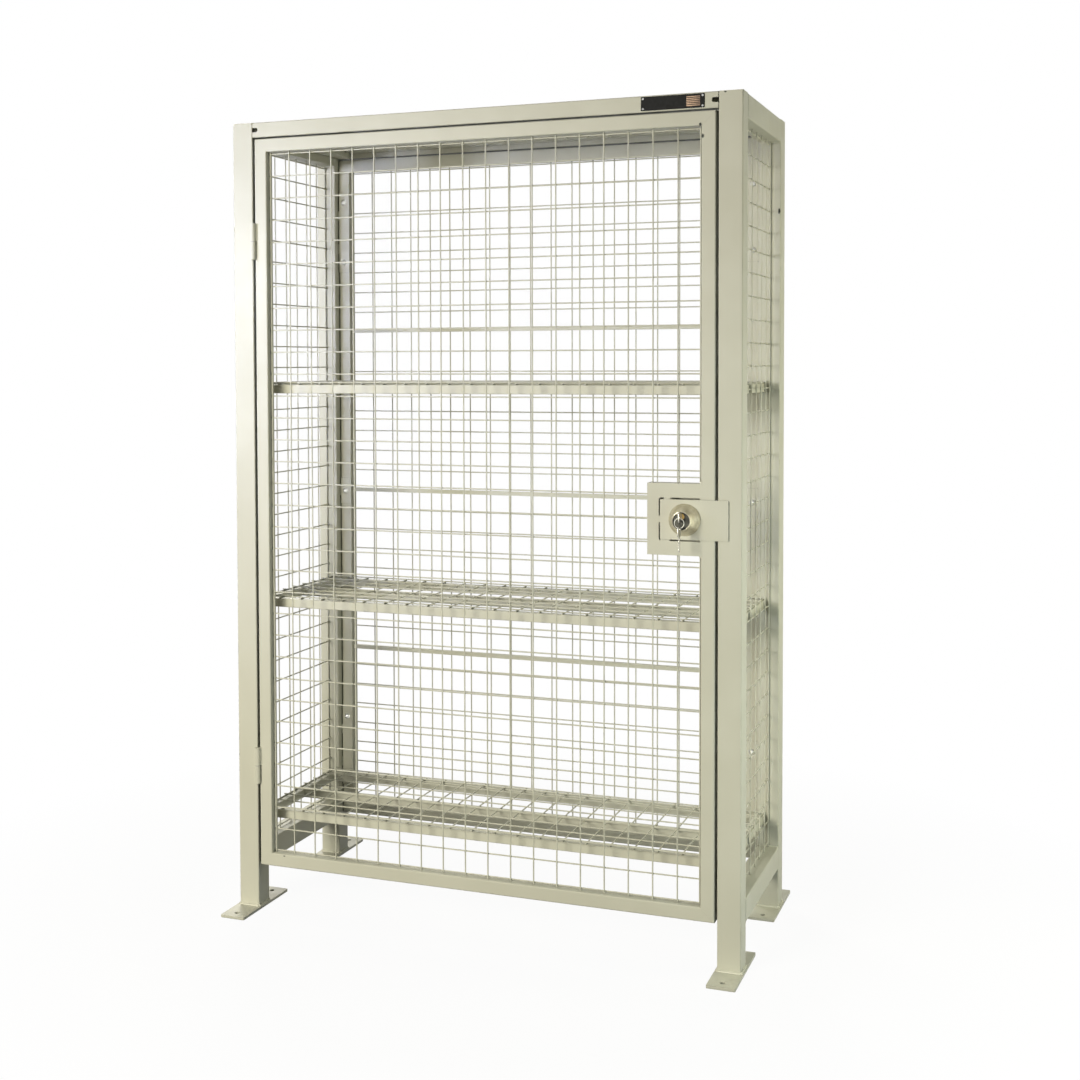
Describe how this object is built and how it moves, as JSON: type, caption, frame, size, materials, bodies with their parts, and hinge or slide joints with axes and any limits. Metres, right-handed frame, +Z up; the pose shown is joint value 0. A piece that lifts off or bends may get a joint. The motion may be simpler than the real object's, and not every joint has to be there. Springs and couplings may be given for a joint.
{
  "type": "tool storage cage",
  "caption": "Upright welded-mesh storage cage on bolt-down feet, with shelves and one side-hinged mesh door locked by a key-turned deadbolt.",
  "frame": {"origin": "on the floor at the middle of the footprint, under the foot plates", "axes": "+Z up, -Y towards the front (door side), +X to the viewer's right when facing the door"},
  "size_m": [1.185, 0.624, 1.81],
  "materials": {
    "powder_coat": "semi-gloss powder coat, pale beige-grey",
    "zinc_fixings": "bright zinc plated",
    "lock_steel": "satin steel",
    "collar_steel": "turned and brushed steel",
    "dark_metal": "dark lock cylinder face",
    "brass": "worn brass",
    "key_nickel": "nickel plated",
    "plate_black": "black anodised plate"
  },
  "bodies": {
    "frame": {"post_front_left": "powder_coat", "post_front_right": "powder_coat", "post_rear_left": "powder_coat", "post_rear_right": "powder_coat", "post_caps": "powder_coat", "foot_plates": "powder_coat", "side_rail_top_left": "powder_coat", "side_rail_top_right": "powder_coat", "side_rail_bottom_left": "powder_coat", "side_rail_bottom_right": "powder_coat", "side_mesh_left": "powder_coat", "side_mesh_right": "powder_coat", "front_top_rail": "powder_coat", "roof_rail_rear": "powder_coat", "roof_rail_left": "powder_coat", "roof_rail_right": "powder_coat", "roof_mesh": "powder_coat", "back_stile_left": "powder_coat", "back_stile_right": "powder_coat", "back_rail_top": "powder_coat", "back_rail_bottom": "powder_coat", "back_stiffeners": "powder_coat", "back_mesh": "powder_coat", "back_tabs": "powder_coat", "back_bolts": "zinc_fixings", "shelf_1_bars": "powder_coat", "shelf_1_ends": "powder_coat", "shelf_1_mesh": "powder_coat", "shelf_2_bars": "powder_coat", "shelf_2_ends": "powder_coat", "shelf_2_mesh": "powder_coat", "shelf_3_bars": "powder_coat", "shelf_3_ends": "powder_coat", "shelf_3_mesh": "powder_coat", "nameplate": "plate_black", "nameplate_rivets": "zinc_fixings", "post_hinge_halves": "powder_coat", "hinge_washers": "lock_steel"},
    "door": {"door_stile_left": "powder_coat", "door_stile_right": "powder_coat", "door_rail_top": "powder_coat", "door_rail_bottom": "powder_coat", "door_mesh": "powder_coat", "door_hinge_halves": "powder_coat", "lock_box": "powder_coat", "lock_cover": "powder_coat", "lock_screws": "zinc_fixings", "bolt_guide": "lock_steel", "guard_plate": "powder_coat", "lock_collar": "collar_steel", "lock_cylinder": "dark_metal"},
    "lock_plug": {"lock_plug": "brass", "crank": "lock_steel"},
    "deadbolt": {"deadbolt": "lock_steel"},
    "key": {"key": "key_nickel"},
    "key_ring": {"key_ring": "key_nickel", "spare_key": "key_nickel"}
  },
  "joints": [
    {"name": "door_hinge", "type": "hinge", "parent": "frame", "child": "door", "pos_m": [-0.53475, -0.23694, 0.3365], "axis": [0, 0, -1], "range_deg": [0, 180]},
    {"name": "key_turn", "type": "hinge", "parent": "door", "child": "lock_plug", "pos_m": [0.469, -0.2638, 0.9475], "axis": [0, -1, 0], "range_deg": [0, 90]},
    {"name": "deadbolt_slide", "type": "slide", "parent": "door", "child": "deadbolt", "axis": [1, 0, 0], "range_m": [0, 0.025]},
    {"name": "key_pull", "type": "slide", "parent": "lock_plug", "child": "key", "axis": [0, -1, 0], "range_m": [0, 0.04]},
    {"name": "ring_swing", "type": "hinge", "parent": "key", "child": "key_ring", "pos_m": [0.469, -0.2813, 0.9475], "axis": [1, 0, 0], "range_deg": [-90, 5]}
  ],
  "couplings": [
    {"joint": "key_turn", "follows": "deadbolt_slide", "rad_per_m": 62.83}
  ]
}
